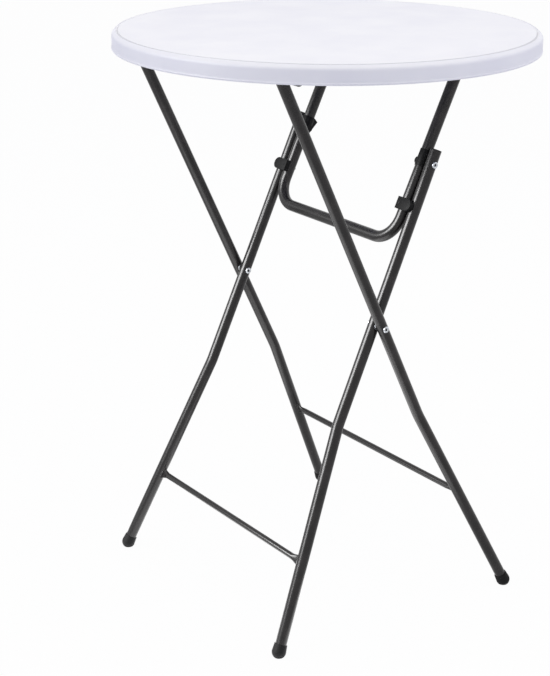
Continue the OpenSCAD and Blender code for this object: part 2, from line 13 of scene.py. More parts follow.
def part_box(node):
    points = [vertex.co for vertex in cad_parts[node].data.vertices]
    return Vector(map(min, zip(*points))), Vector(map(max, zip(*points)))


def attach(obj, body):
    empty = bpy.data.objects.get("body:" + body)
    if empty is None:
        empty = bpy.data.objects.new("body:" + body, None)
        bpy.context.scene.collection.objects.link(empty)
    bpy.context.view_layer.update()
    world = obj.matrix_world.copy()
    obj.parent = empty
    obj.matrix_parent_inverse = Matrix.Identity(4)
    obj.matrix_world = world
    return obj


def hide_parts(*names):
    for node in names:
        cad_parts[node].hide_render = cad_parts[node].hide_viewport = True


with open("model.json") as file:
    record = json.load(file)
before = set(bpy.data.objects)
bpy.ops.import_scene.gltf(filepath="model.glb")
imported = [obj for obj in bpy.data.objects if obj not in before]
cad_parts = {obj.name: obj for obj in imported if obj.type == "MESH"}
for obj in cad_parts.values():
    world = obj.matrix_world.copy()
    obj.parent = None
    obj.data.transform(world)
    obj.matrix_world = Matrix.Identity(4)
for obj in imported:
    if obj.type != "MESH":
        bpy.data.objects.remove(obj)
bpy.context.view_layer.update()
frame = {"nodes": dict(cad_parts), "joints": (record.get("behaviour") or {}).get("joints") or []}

MM = 0.001
# Corners nearer than this are merged, in a new piece and in the copy of a CAD node.
SAME_SPOT = 0.001 * MM
CAD_SAME_SPOT = 0.002 * MM
# In that copy, edges flatter than the first angle go, and those steeper than the second are rounded.
FLAT_ANGLE = math.radians(1)
EDGE_ANGLE = math.radians(32)
# Nearly all values of a noise lie between these two.
NOISE_LOW = 0.3
NOISE_HIGH = 0.7
WHITE = (1.0, 1.0, 1.0)
LOG = logging.getLogger("folding_high_table")
Path = list[Vector]
Places = list[tuple[Vector, Vector]]
Outline = list[tuple[float, float]]
Faces = list[tuple[int, ...]]


class Body(Enum):
    """The four rigid bodies of the table."""

    TABLETOP = "tabletop"
    OUTER_FRAME = "outer_frame"
    MIDDLE_FRAME = "middle_frame"
    LOCK_BAR = "lock_bar"


class Slot(Enum):
    """The record's slots, which name what a piece is made of."""

    WHITE_PLASTIC = "white_plastic"
    POWDER_COAT = "powder_coat"
    BLACK_PLASTIC = "black_plastic"
    RUBBER = "rubber"
    ZINC_STEEL = "zinc_steel"


def srgb(code: str) -> tuple[float, float, float, float]:
    """Turns an sRGB hex colour to linear.

    Args:
        code: six hex digits after a hash sign.

    Returns:
        Linear red, green, blue and an alpha of 1.
    """
    parts = [int(code[i:i + 2], 16) / 255 for i in (1, 3, 5)]
    linear = [c / 12.92 if c <= 0.04045 else ((c + 0.055) / 1.055) ** 2.4 for c in parts]
    return (linear[0], linear[1], linear[2], 1.0)


class Tree:
    """A node tree and the function that adds nodes to it."""

    def __init__(self, tree: bpy.types.NodeTree) -> None:
        """Takes Blender's own tree."""
        self.tree = tree

    def node(self, kind: str, inputs: dict[str | int, object] | None = None,
             **settings: object) -> bpy.types.Node:
        """Adds a node with its settings, values and links.

        Args:
            kind: the node's type name.
            inputs: what each input gets, as feed takes it.
            settings: attribute values by name.

        Returns:
            The new node.
        """
        made = self.tree.nodes.new(kind)
        for name, value in settings.items():
            setattr(made, name, value)
        self.feed(made, inputs or {})
        return made

    def feed(self, node: bpy.types.Node, inputs: dict[str | int, object]) -> None:
        """Gives a node its values and links.

        Args:
            node: the node.
            inputs: by an input's name or number, a value, a socket, a node that stands for its
                first output, or a list of these.
        """
        for name, value in inputs.items():
            for source in value if isinstance(value, list) else [value]:
                if isinstance(source, bpy.types.Node):
                    source = source.outputs[0]
                if isinstance(source, bpy.types.NodeSocket):
                    self.tree.links.new(source, node.inputs[name])
                else:
                    node.inputs[name].default_value = source


class MaterialTree(Tree):
    """A new material on Object coordinates."""

    def __init__(self, name: str) -> None:
        """Starts the material.

        Args:
            name: the finish's name.
        """
        self.material = bpy.data.materials.new(name)
        self.material.use_nodes = True
        super().__init__(self.material.node_tree)
        self.shader = self.tree.nodes["Principled BSDF"]
        self.place = self.node("ShaderNodeTexCoord").outputs["Object"]

    def blend(self, value: bpy.types.Node, low: tuple[float, str],
              high: tuple[float, str]) -> bpy.types.NodeSocket:
        """Goes from one colour to another as a value rises.

        Args:
            value: the value.
            low: where the first colour ends, and its hex code.
            high: where the second colour starts, and its hex code.

        Returns:
            The colour.
        """
        share = self.node("ShaderNodeMapRange", {
            "Value": value, "From Min": low[0], "From Max": high[0]})
        return self.mix(share, srgb(low[1]), srgb(high[1]))

    def mix(self, share: bpy.types.Node, first: object, second: object) -> bpy.types.NodeSocket:
        """Mixes two colours, the second by its share."""
        mixed = self.node("ShaderNodeMix", {"Factor": share, 6: first, 7: second}, data_type="RGBA")
        return mixed.outputs[2]


@dataclass(frozen=True)
class Grain:
    """A fine relief that also breaks up the gloss.

    The eye gets a surface that is neither flat nor glassy.
    """

    size: float
    height: float
    strength: float
    roughness: float
    spread: float = 0.12
    detail: float = 3.0
    fineness: float = 0.58

    def apply(self, made: MaterialTree) -> bpy.types.Node:
        """Links the relief to a material's roughness and normal.

        Args:
            made: the material.

        Returns:
            The noise that the relief follows.
        """
        noise = made.node("ShaderNodeTexNoise", {
            "Vector": made.place, "Scale": 1 / self.size, "Detail": self.detail,
            "Roughness": self.fineness})
        gloss = made.node("ShaderNodeMapRange", {
            "Value": noise, "From Min": NOISE_LOW, "From Max": NOISE_HIGH,
            "To Min": self.roughness - self.spread / 3, "To Max": self.roughness + self.spread})
        bump = made.node("ShaderNodeBump", {
            "Height": noise, "Strength": self.strength, "Distance": self.height})
        made.feed(made.shader, {"Roughness": gloss, "Normal": bump})
        return noise


@dataclass(frozen=True)
class BlowMouldedPolyethylene:
    """White high-density polyethylene, blow-moulded against a stippled mould.

    The eye gets a clean, slightly lavender white with a soft broad sheen, a fine stipple and a
    thin grey line of painted shade on the groove's inner flank.
    """

    colour: str = "#f0f0f6"
    shade: str = "#ebebf3"
    cloud: float = 90 * MM
    stipple: Grain = Grain(1.6 * MM, 0.05 * MM, 0.3, 0.58)
    ior: float = 1.54
    level: float = 0.3
    # Painted shade: grey of the thin line painted on the groove's inner flank, standing in for the
    # groove's shadow.
    dust_and_painted_shade: str = "#d6d6dc"
    flank_radius: float = 388.3 * MM
    flank_reach: float = 1.7 * MM
    flank_full: float = 0.75
    flank_low: float = 1095 * MM
    flank_high: float = 1096 * MM

    def make(self) -> bpy.types.Material:
        """Builds the material.

        Returns:
            The material.
        """
        made = MaterialTree("blow_moulded_polyethylene")
        clouds = made.node("ShaderNodeTexNoise", {
            "Vector": made.place, "Scale": 1 / self.cloud, "Detail": 3.0, "Roughness": 0.5})
        clean = made.blend(clouds, (NOISE_LOW, self.shade), (NOISE_HIGH, self.colour))
        self.stipple.apply(made)
        made.feed(made.shader, {
            # Painted shade: the groove's inner flank is greyed as if it lay in shadow.
            "Base Color": made.mix(self.painted_groove_shade_mask(made), clean, srgb(self.dust_and_painted_shade)),
            "IOR": self.ior, "Specular IOR Level": self.level})
        return made.material

    def painted_groove_shade_mask(self, made: MaterialTree) -> bpy.types.Node:
        """Finds the groove's inner flank, where a line of shade is painted, by its radius and
        height.

        Args:
            made: the material.

        Returns:
            A node that gives 1 on the flank, and 0 away from it.
        """
        flat = made.node("ShaderNodeVectorMath", {0: made.place, 1: (1, 1, 0)}, operation="MULTIPLY")
        radius = made.node("ShaderNodeVectorMath", {0: flat}, operation="LENGTH")
        away = made.node("ShaderNodeMath", {0: radius.outputs["Value"], 1: self.flank_radius},
                         operation="SUBTRACT")
        distance = made.node("ShaderNodeMath", {0: away}, operation="ABSOLUTE")
        ring = made.node("ShaderNodeMapRange", {
            "Value": distance, "From Min": self.flank_reach * self.flank_full,
            "From Max": self.flank_reach, "To Min": 1.0, "To Max": 0.0})
        axes = made.node("ShaderNodeSeparateXYZ", {"Vector": made.place})
        high = made.node("ShaderNodeMapRange", {
            "Value": axes.outputs["Z"], "From Min": self.flank_low, "From Max": self.flank_high})
        return made.node("ShaderNodeMath", {0: ring, 1: high}, operation="MULTIPLY")


@dataclass(frozen=True)
class PowderCoat:
    """Charcoal polyester powder coat baked on steel tube.

    The eye gets a near-black with a broad streak of light, a fine orange peel and faint paler
    specks, drawn coarser than the real ones so that they show.
    """

    colour: str = "#191717"
    speck: str = "#2f2b2b"
    cloud: float = 30 * MM
    speck_size: float = 1.3 * MM
    speck_low: float = 0.2
    speck_high: float = 0.42
    peel: Grain = Grain(1.1 * MM, 0.04 * MM, 0.05, 0.26, 0.05, 2.0)
    ior: float = 1.5
    level: float = 0.32

    def make(self) -> bpy.types.Material:
        """Builds the material.

        Returns:
            The material.
        """
        made = MaterialTree("powder_coated_steel")
        specks, clouds = (made.node("ShaderNodeTexNoise", {
            "Vector": made.place, "Scale": 1 / size, "Detail": 3.0, "Roughness": fineness})
            for size, fineness in ((self.speck_size, 0.6), (self.cloud, 0.5)))
        value = made.node("ShaderNodeMath", {0: specks, 1: clouds}, operation="MULTIPLY")
        tint = made.blend(value, (self.speck_low, self.colour), (self.speck_high, self.speck))
        self.peel.apply(made)
        made.feed(made.shader, {
            "Base Color": tint, "IOR": self.ior, "Specular IOR Level": self.level})
        return made.material


@dataclass(frozen=True)
class MouldedPlastic:
    """Black polypropylene from a spark-eroded mould.

    The eye gets an even, dull black with a fine grain and softly lit edges.
    """

    colour: str = "#0b0b0c"
    pale: str = "#161617"
    grain: Grain = Grain(0.9 * MM, 0.06 * MM, 0.5, 0.46)
    pale_low: float = 0.35
    pale_high: float = 0.75
    ior: float = 1.49
    level: float = 0.1

    def make(self) -> bpy.types.Material:
        """Builds the material.

        Returns:
            The material.
        """
        made = MaterialTree("moulded_black_polypropylene")
        tint = made.blend(self.grain.apply(made), (self.pale_low, self.colour),
                          (self.pale_high, self.pale))
        made.feed(made.shader, {
            "Base Color": tint, "IOR": self.ior, "Specular IOR Level": self.level})
        return made.material


@dataclass(frozen=True)
class ZincPlatedSteel:
    """Zinc plating on pressed steel, as on rivets and screws.

    The eye gets a cool silver, or a near-black where the zinc is blackened, with faint forming
    marks.
    """

    name: str = "zinc_plated_steel"
    colour: str = "#cdd0d5"
    dull: str = "#a2a6ac"
    marks: Grain = Grain(1.5 * MM, 0.02 * MM, 0.3, 0.26, 0.14, 4.0)

    def make(self) -> bpy.types.Material:
        """Builds the material.

        Returns:
            The material.
        """
        made = MaterialTree(self.name)
        tint = made.blend(self.marks.apply(made), (NOISE_LOW, self.dull), (NOISE_HIGH, self.colour))
        made.feed(made.shader, {"Base Color": tint, "Metallic": 1.0})
        return made.material


@dataclass(frozen=True)
class FootRubber:
    """Black vulcanised rubber of the feet, dusty where it meets the floor.

    The eye gets a soft black that greys a little towards the sole.
    """

    colour: str = "#0f0f10"
    # Real grey dust on the rubber, thickest towards the sole.
    dust_and_painted_shade: str = "#2a292b"
    dust_height: float = 9 * MM
    dust_share: float = 0.8
    dust_full: float = 0.6
    grain: Grain = Grain(1.4 * MM, 0.08 * MM, 0.5, 0.62)
    ior: float = 1.52
    level: float = 0.15

    def make(self) -> bpy.types.Material:
        """Builds the material.

        Returns:
            The material.
        """
        made = MaterialTree("vulcanised_rubber")
        axes = made.node("ShaderNodeSeparateXYZ", {"Vector": made.place})
        low = made.node("ShaderNodeMapRange", {
            "Value": axes.outputs["Z"], "From Max": self.dust_height,
            "To Min": self.dust_share, "To Max": 0.0})
        dusty = made.node("ShaderNodeMath", {0: low, 1: self.grain.apply(made)},
                          operation="MULTIPLY")
        tint = made.blend(dusty, (0.0, self.colour), (self.dust_full, self.dust_and_painted_shade))
        made.feed(made.shader, {
            "Base Color": tint, "IOR": self.ior, "Specular IOR Level": self.level})
        return made.material


@dataclass(frozen=True)
class Finish:
    """A material, with the record's slot that it belongs to."""

    material: bpy.types.Material
    slot: Slot


class Finishes:
    """The finishes of the table, made once."""

    def __init__(self) -> None:
        """Builds every finish."""
        blackened = ZincPlatedSteel("black_zinc_plated_steel", "#2c2c2e", "#1b1b1c")
        self.top = Finish(BlowMouldedPolyethylene().make(), Slot.WHITE_PLASTIC)
        self.tube = Finish(PowderCoat().make(), Slot.POWDER_COAT)
        self.plastic = Finish(MouldedPlastic().make(), Slot.BLACK_PLASTIC)
        self.zinc = Finish(ZincPlatedSteel().make(), Slot.ZINC_STEEL)
        self.black_zinc = Finish(blackened.make(), Slot.ZINC_STEEL)
        self.rubber = Finish(FootRubber().make(), Slot.RUBBER)


def set_down(piece: bpy.types.Object, finish: Finish, body: Body, nodes: tuple[str, ...] = (),
             sharp: float = 35.0) -> None:
    """Finishes a piece and gives it to its body.

    Args:
        piece: the piece, with its place in its mesh.
        finish: its finish.
        body: the body that it rides on.
        nodes: the CAD nodes that it stands for.
        sharp: edges steeper than this stay sharp, in degrees.
    """
    mesh = piece.data
    mesh.materials.clear()
    mesh.materials.append(finish.material)
    for face in mesh.polygons:
        face.material_index = 0
    mesh.shade_smooth()
    mesh.set_sharp_from_angle(angle=math.radians(sharp))
    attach(piece, body.value)
    if nodes:
        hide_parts(*nodes)
    LOG.info("%s: %d faces on %s", piece.name, len(mesh.polygons), body.value)


def linked(name: str, data: bpy.types.ID) -> bpy.types.Object:
    """Makes an object from its data and links it to the scene.

    Args:
        name: the object's name.
        data: its mesh, lamp or camera.

    Returns:
        The object.
    """
    made = bpy.data.objects.new(name, data)
    bpy.context.scene.collection.objects.link(made)
    return made


def new_piece(name: str, corners: list[Vector], faces: Faces) -> bpy.types.Object:
    """Makes an object from corners and faces, with its normals outwards.

    Args:
        name: the piece's name.
        corners: places in metres.
        faces: corner numbers of each face.

    Returns:
        The object, linked to the scene.
    """
    mesh = bpy.data.meshes.new(name)
    mesh.from_pydata(corners, [], faces)
    shape = bmesh.new()
    shape.from_mesh(mesh)
    bmesh.ops.remove_doubles(shape, verts=shape.verts, dist=SAME_SPOT)
    bmesh.ops.recalc_face_normals(shape, faces=shape.faces)
    shape.to_mesh(mesh)
    shape.free()
    return linked(name, mesh)


def settle(piece: bpy.types.Object) -> bpy.types.Object:
    """Turns a piece with modifiers to a plain mesh.

    Args:
        piece: the piece.

    Returns:
        The same piece without modifiers.
    """
    graph = bpy.context.evaluated_depsgraph_get()
    mesh = bpy.data.meshes.new_from_object(piece.evaluated_get(graph), depsgraph=graph)
    piece.modifiers.clear()
    piece.data = mesh
    mesh.name = piece.name
    return piece


def rounded_copy(node: str, width: float) -> bpy.types.Object:
    """Copies a CAD node, merges its corners and rounds its edges.

    Args:
        node: the CAD node.
        width: width of the rounding in metres.

    Returns:
        The rounded piece, named for the node.
    """
    shape = bmesh.new()
    shape.from_mesh(frame["nodes"][node].data)
    bmesh.ops.remove_doubles(shape, verts=shape.verts, dist=CAD_SAME_SPOT)
    bmesh.ops.dissolve_limit(shape, angle_limit=FLAT_ANGLE, verts=shape.verts, edges=shape.edges)
    mesh = bpy.data.meshes.new(node + "_moulding")
    shape.to_mesh(mesh)
    shape.free()
    piece = linked(mesh.name, mesh)
    bevel = piece.modifiers.new("rounding", "BEVEL")
    bevel.width = width
    bevel.segments = 3
    bevel.limit_method = "ANGLE"
    bevel.angle_limit = EDGE_ANGLE
    bevel.miter_outer = "MITER_ARC"
    return settle(piece)


class Pattern(Tree):
    """A Geometry Nodes tree with named sizes, run on a mesh of places or paths."""

    def __init__(self, name: str, sizes: dict[str, float]) -> None:
        """Starts the tree.

        Args:
            name: the tree's name.
            sizes: each named size with its usual value.
        """
        super().__init__(bpy.data.node_groups.new(name, "GeometryNodeTree"))
        face = self.tree.interface
        face.new_socket("Geometry", in_out="INPUT", socket_type="NodeSocketGeometry")
        face.new_socket("Finish", in_out="INPUT", socket_type="NodeSocketMaterial")
        face.new_socket("Geometry", in_out="OUTPUT", socket_type="NodeSocketGeometry")
        for size, value in sizes.items():
            socket = face.new_socket(size, in_out="INPUT", socket_type="NodeSocketFloat")
            socket.default_value = value
        self.inputs = self.node("NodeGroupInput").outputs

    def sum(self, *terms: tuple[float, object]) -> bpy.types.Node:
        """Adds up sizes, each times a number.

        Args:
            terms: pairs of a number and a size's name, a node or a socket.

        Returns:
            The sum.
        """
        total: object = 0.0
        for share, term in terms:
            value = self.inputs[term] if isinstance(term, str) else term
            total = self.node("ShaderNodeMath", {0: value, 1: share, 2: total},
                              operation="MULTIPLY_ADD")
        return total

    def placed(self, shape: bpy.types.Node, z: object = 0.0,
               scale: tuple[object, object, object] = (1.0, 1.0, 1.0)) -> bpy.types.Node:
        """Scales a shape, then moves it along the Z axis.

        Args:
            shape: the shape.
            z: by how much it moves.
            scale: its scale on the three axes.

        Returns:
            The placed shape.
        """
        return self.node("GeometryNodeTransform", {
            "Geometry": shape,
            "Translation": self.node("ShaderNodeCombineXYZ", {2: z}),
            "Scale": self.node("ShaderNodeCombineXYZ", dict(enumerate(scale)))})

    def spread(self, shape: bpy.types.Node, turn: float = 0.0, seed: int = 0) -> bpy.types.Node:
        """Puts a shape on every place, its Z axis along the place's way.

        Args:
            shape: the shape.
            turn: the most that a copy turns about its own axis, in radians.
            seed: seed of the turns.

        Returns:
            The copies.
        """
        way = self.node("GeometryNodeInputNamedAttribute", {"Name": "way"}, data_type="FLOAT_VECTOR")
        facing = self.node("FunctionNodeAlignRotationToVector", {"Vector": way}, axis="Z")
        copies = self.node("GeometryNodeInstanceOnPoints", {
            "Points": self.inputs["Geometry"], "Instance": shape, "Rotation": facing})
        chance = self.node("FunctionNodeRandomValue", {2: 0.0, 3: turn, "Seed": seed},
                           data_type="FLOAT")
        about = self.node("ShaderNodeCombineXYZ", {2: chance.outputs[1]})
        return self.node("GeometryNodeRotateInstances", {"Instances": copies, "Rotation": about})

    def close(self, shape: bpy.types.Node) -> None:
        """Ends the tree with real meshes in their finish.

        Args:
            shape: what the tree has made.
        """
        real = self.node("GeometryNodeRealizeInstances", {"Geometry": shape})
        dressed = self.node("GeometryNodeSetMaterial", {
            "Geometry": real, "Material": self.inputs["Finish"]})
        self.node("NodeGroupOutput", {"Geometry": dressed})

    def cast(self, name: str, source: bpy.types.Mesh, finish: Finish,
             sizes: dict[str, float] | None = None) -> bpy.types.Object:
        """Runs the tree and keeps its result as a plain mesh.

        Args:
            name: the piece's name.
            source: the mesh of places or paths.
            finish: the piece's finish.
            sizes: sizes that differ from the usual ones.

        Returns:
            The piece.
        """
        piece = linked(name, source)
        modifier = piece.modifiers.new("pattern", "NODES")
        modifier.node_group = self.tree
        keys = {item.name: item.identifier for item in self.tree.interface.items_tree
                if item.in_out == "INPUT"}
        modifier[keys["Finish"]] = finish.material
        for size, value in (sizes or {}).items():
            modifier[keys[size]] = value
        return settle(piece)


def place_mesh(places: Places) -> bpy.types.Mesh:
    """Makes a mesh of single corners, each with the way that it faces.

    Args:
        places: pairs of a place and a way.

    Returns:
        The mesh.
    """
    mesh = bpy.data.meshes.new("places")
    mesh.from_pydata([place for place, _ in places], [], [])
    way = mesh.attributes.new("way", "FLOAT_VECTOR", "POINT")
    for index, (_, direction) in enumerate(places):
        way.data[index].vector = direction
    return mesh


def path_mesh(paths: list[Path], closed: bool = False) -> bpy.types.Mesh:
    """Makes a mesh of edges that follow paths.

    Args:
        paths: the points of each path.
        closed: whether each path ends where it starts.

    Returns:
        The mesh.
    """
    corners: Path = []
    edges = []
    for path in paths:
        first = len(corners)
        corners += path
        edges += [(first + i, first + i + 1) for i in range(len(path) - 1)]
        if closed:
            edges.append((first + len(path) - 1, first))
    mesh = bpy.data.meshes.new("paths")
    mesh.from_pydata(corners, edges, [])
    return mesh


def both(y: float) -> tuple[float, float]:
    """The same distance to the left and to the right."""
    return y, -y


def outwards(y: float) -> Vector:
    """The way from the middle to the side of a place."""
    return Vector((0, math.copysign(1, y), 0))


def mirrored(path: Path) -> Path:
    """The same path on the other side."""
    return [Vector((point.x, -point.y, point.z)) for point in path]


def tube_pattern() -> Pattern:
    """A round tube along each path, closed at its ends.

    Returns:
        The tree.
    """
    made = Pattern("round_tube", {"Diameter": 22 * MM})
    path = made.node("GeometryNodeMeshToCurve", {"Mesh": made.inputs["Geometry"]})
    section = made.node("GeometryNodeCurvePrimitiveCircle", {
        "Resolution": 48, "Radius": made.sum((0.5, "Diameter"))})
    made.close(made.node("GeometryNodeCurveToMesh", {
        "Curve": path, "Profile Curve": section, "Fill Caps": True}))
    return made


def weld_pattern() -> Pattern:
    """A weld bead along each path, with the ripples of its pool.

    Returns:
        The tree.
    """
    made = Pattern("weld_bead", {
        "Bead diameter": 3 * MM, "Ripple pitch": 1.6 * MM, "Ripple depth": 0.12, "Step": 0.4 * MM})
    path = made.node("GeometryNodeMeshToCurve", {"Mesh": made.inputs["Geometry"]})
    even = made.node("GeometryNodeResampleCurve", {"Curve": path, "Length": made.inputs["Step"]},
                     mode="LENGTH")
    along = made.node("GeometryNodeSplineParameter").outputs["Length"]
    ripples = made.node("ShaderNodeMath", {0: along, 1: made.inputs["Ripple pitch"]},
                        operation="DIVIDE")
    wave = made.node("ShaderNodeMath", {0: made.sum((math.tau, ripples))}, operation="SINE")
    swell = made.node("ShaderNodeMath", {0: wave, 1: made.inputs["Ripple depth"], 2: 1.0},
                      operation="MULTIPLY_ADD")
    section = made.node("GeometryNodeCurvePrimitiveCircle", {
        "Resolution": 10, "Radius": made.sum((0.5, "Bead diameter"))})
    made.close(made.node("GeometryNodeCurveToMesh", {
        "Curve": even, "Profile Curve": section, "Scale": swell}))
    return made


def bored_ring(made: Pattern, diameter: str, half_height: object, z: object = 0.0,
               sides: int = 48, rolled: bool = False) -> bpy.types.Node:
    """A ring about the Z axis round a rivet's bore.

    Args:
        made: the rivet's tree.
        diameter: name of the ring's outer diameter.
        half_height: half of its height.
        z: where its middle lies.
        sides: corners round the ring.
        rolled: a round section, or else a square one.

    Returns:
        The ring.
    """
    # Half the width of the section is a quarter of what the two diameters differ by.
    half = made.sum((0.25, diameter), (-0.25, "Bore"))
    path = made.node("GeometryNodeCurvePrimitiveCircle", {
        "Resolution": sides, "Radius": made.sum((0.25, diameter), (0.25, "Bore"))})
    if rolled:
        section = made.node("GeometryNodeCurvePrimitiveCircle", {"Resolution": 16, "Radius": half})
    else:
        side = made.sum((2.0, half))
        section = made.node("GeometryNodeCurvePrimitiveQuadrilateral", {
            "Width": side, "Height": side})
    swept = made.node("GeometryNodeCurveToMesh", {"Curve": path, "Profile Curve": section})
    tall = made.node("ShaderNodeMath", {0: half_height, 1: half}, operation="DIVIDE")
    return made.placed(swept, z, (1.0, 1.0, tall))


def rivet_pattern() -> Pattern:
    """A tubular rivet: a rolled head, a bored shank and a flat ring at its far end.

    Returns:
        The tree.
    """
    made = Pattern("tubular_rivet", {
        "Head diameter": 12.6 * MM, "Head height": 2 * MM, "Bore": 4.6 * MM,
        "Shank diameter": 8 * MM, "Length": 21 * MM, "Ring diameter": 15 * MM,
        "Ring thickness": 1.5 * MM})
    head = bored_ring(made, "Head diameter", made.inputs["Head height"], rolled=True)
    shank = bored_ring(made, "Shank diameter", made.sum((0.5, "Length")),
                       made.sum((-0.5, "Length")), sides=32)
    ring = bored_ring(made, "Ring diameter", made.sum((0.5, "Ring thickness")),
                      made.sum((-1.0, "Length"), (-0.5, "Ring thickness")))
    made.close(made.spread(made.node("GeometryNodeJoinGeometry", {0: [head, shank, ring]})))
    return made


def screw_pattern() -> Pattern:
    """A pan head screw with a cross recess.

    Returns:
        The tree.
    """
    made = Pattern("cross_recess_screw", {
        "Head diameter": 8 * MM, "Head height": 2.6 * MM, "Shank diameter": 4 * MM,
        "Shank length": 15 * MM, "Recess reach": 4.4 * MM, "Recess width": 1.1 * MM,
        "Recess depth": 1.5 * MM})
    height = made.inputs["Head height"]
    half = made.sum((0.5, "Head diameter"))
    dome = made.node("GeometryNodeMeshUVSphere", {"Segments": 28, "Rings": 14, "Radius": 1.0})
    head = made.placed(dome, scale=(half, half, height))
    reach, width = made.inputs["Recess reach"], made.inputs["Recess width"]
    deep = made.sum((2.0, "Recess depth"))
    sizes = [made.node("ShaderNodeCombineXYZ", {0: x, 1: y, 2: deep})
             for x, y in ((reach, width), (width, reach))]
    slots = [made.placed(made.node("GeometryNodeMeshCube", {"Size": size}), height)
             for size in sizes]
    cut = made.node("GeometryNodeMeshBoolean", {"Mesh 1": head, "Mesh 2": slots},
                    operation="DIFFERENCE")
    stem = made.node("GeometryNodeMeshCylinder", {
        "Vertices": 20, "Radius": made.sum((0.5, "Shank diameter")),
        "Depth": made.inputs["Shank length"]})
    shank = made.placed(stem, made.sum((-0.5, "Shank length")))
    whole = made.node("GeometryNodeJoinGeometry", {0: [cut, shank]})
    made.close(made.spread(whole, turn=math.pi / 2, seed=7))
    return made


def dimple_pattern() -> Pattern:
    """The pegs of the mould that press dimples into the underside.

    Returns:
        The tree.
    """
    made = Pattern("mould_peg", {
        "Rim diameter": 27 * MM, "Floor diameter": 9 * MM, "Depth": 10 * MM})
    peg = made.node("GeometryNodeMeshCone", {
        "Vertices": 28, "Radius Top": made.sum((0.5, "Floor diameter")),
        "Radius Bottom": made.sum((0.5, "Rim diameter")), "Depth": made.inputs["Depth"]})
    made.close(made.spread(peg))
    return made


class Patterns:
    """The Geometry Nodes trees of the table, made once."""

    def __init__(self) -> None:
        """Builds every tree."""
        self.tube = tube_pattern()
        self.weld = weld_pattern()
        self.rivet = rivet_pattern()
        self.screw = screw_pattern()
        self.dimple = dimple_pattern()


@dataclass
class Linkage:
    """Where the frames cross, turn and lean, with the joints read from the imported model."""

    scissor_x: float = -39 * MM
    scissor_z: float = 582 * MM
    outer_lean: float = math.radians(25.85)
    middle_lean: float = math.radians(24.24)

    def __post_init__(self) -> None:
        """Reads the joints and works out each frame's place."""
        joints = {joint["name"]: Vector(joint["pos_m"]) for joint in frame["joints"]}
        self.scissor = Vector((self.scissor_x, 0, self.scissor_z))
        self.outer_hinge = joints["outer_fold"]
        self.rivet = joints["middle_fold"]
        arm = joints["lock_fold"] - self.rivet
        self.lock_reach = arm.length
        self.rivet_up = (self.rivet - self.scissor).length
        self.outer = self.frame_at(self.scissor, -self.outer_lean)
        self.middle = self.frame_at(self.scissor, self.middle_lean)
        self.lock = self.frame_at(self.rivet, math.atan2(arm.x, arm.z))
        self.outer_hinge_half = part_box("outer_hinge_tube")[1].y
        self.lock_hinge_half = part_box("lock_hinge_tube")[1].y

    @staticmethod
    def frame_at(place: Vector, lean: float) -> Matrix:
        """A frame of reference that leans about the Y axis."""
        return Matrix.Translation(place) @ Matrix.Rotation(lean, 4, "Y")


@dataclass
class Leg:
    """A tube with one bend, in its frame's own coordinates, on the left side."""

    half: float
    top: float
    bend: float
    floor: float
    foot_half: float
    diameter: float
    toe: float = 0.0
    bend_radius: float = 120 * MM
    sole: float = 7 * MM
    arc_steps: int = 12

    def __post_init__(self) -> None:
        """Works out the splay below the bend."""
        self.bend_half = self.half + self.bend * math.tan(self.toe)
        self.splay = math.atan2(self.foot_half - self.bend_half, self.floor - self.bend)

    def axis_y(self, down: float) -> float:
        """Distance of the straight lower part's axis from the middle.

        Args:
            down: distance below the scissor pivot, past the bend.

        Returns:
            The distance.
        """
        return self.bend_half + (down - self.bend) * math.tan(self.splay)

    def path(self) -> Path:
        """Follows the axis from the upper end to the foot.

        Returns:
            The axis.
        """
        upper = Vector((0, -math.sin(self.toe), math.cos(self.toe)))
        lower = Vector((0, math.sin(self.splay), -math.cos(self.splay)))
        corner = Vector((0, self.bend_half, -self.bend))
        turn = self.splay - self.toe
        tangent = self.bend_radius * math.tan(turn / 2)
        start = corner + upper * tangent
        centre = start + Vector((0, math.cos(self.toe), math.sin(self.toe))) * self.bend_radius
        spoke = start - centre
        arc = [centre + Matrix.Rotation(turn * i / self.arc_steps, 3, "X") @ spoke
               for i in range(self.arc_steps + 1)]
        length = (self.floor - self.bend) / math.cos(self.splay) - self.sole
        top = corner + upper * (self.bend + self.top) / math.cos(self.toe)
        return [top] + arc + [corner + lower * length]

    def inner_face(self, x: float, down: float) -> float:
        """Where the lower part's inner side lies.

        Args:
            x: distance in front of the axis.
            down: distance below the scissor pivot.

        Returns:
            The side's distance from the middle.
        """
        depth = math.sqrt((self.diameter / 2) ** 2 - x * x)
        return self.axis_y(down) - depth / math.cos(self.splay)


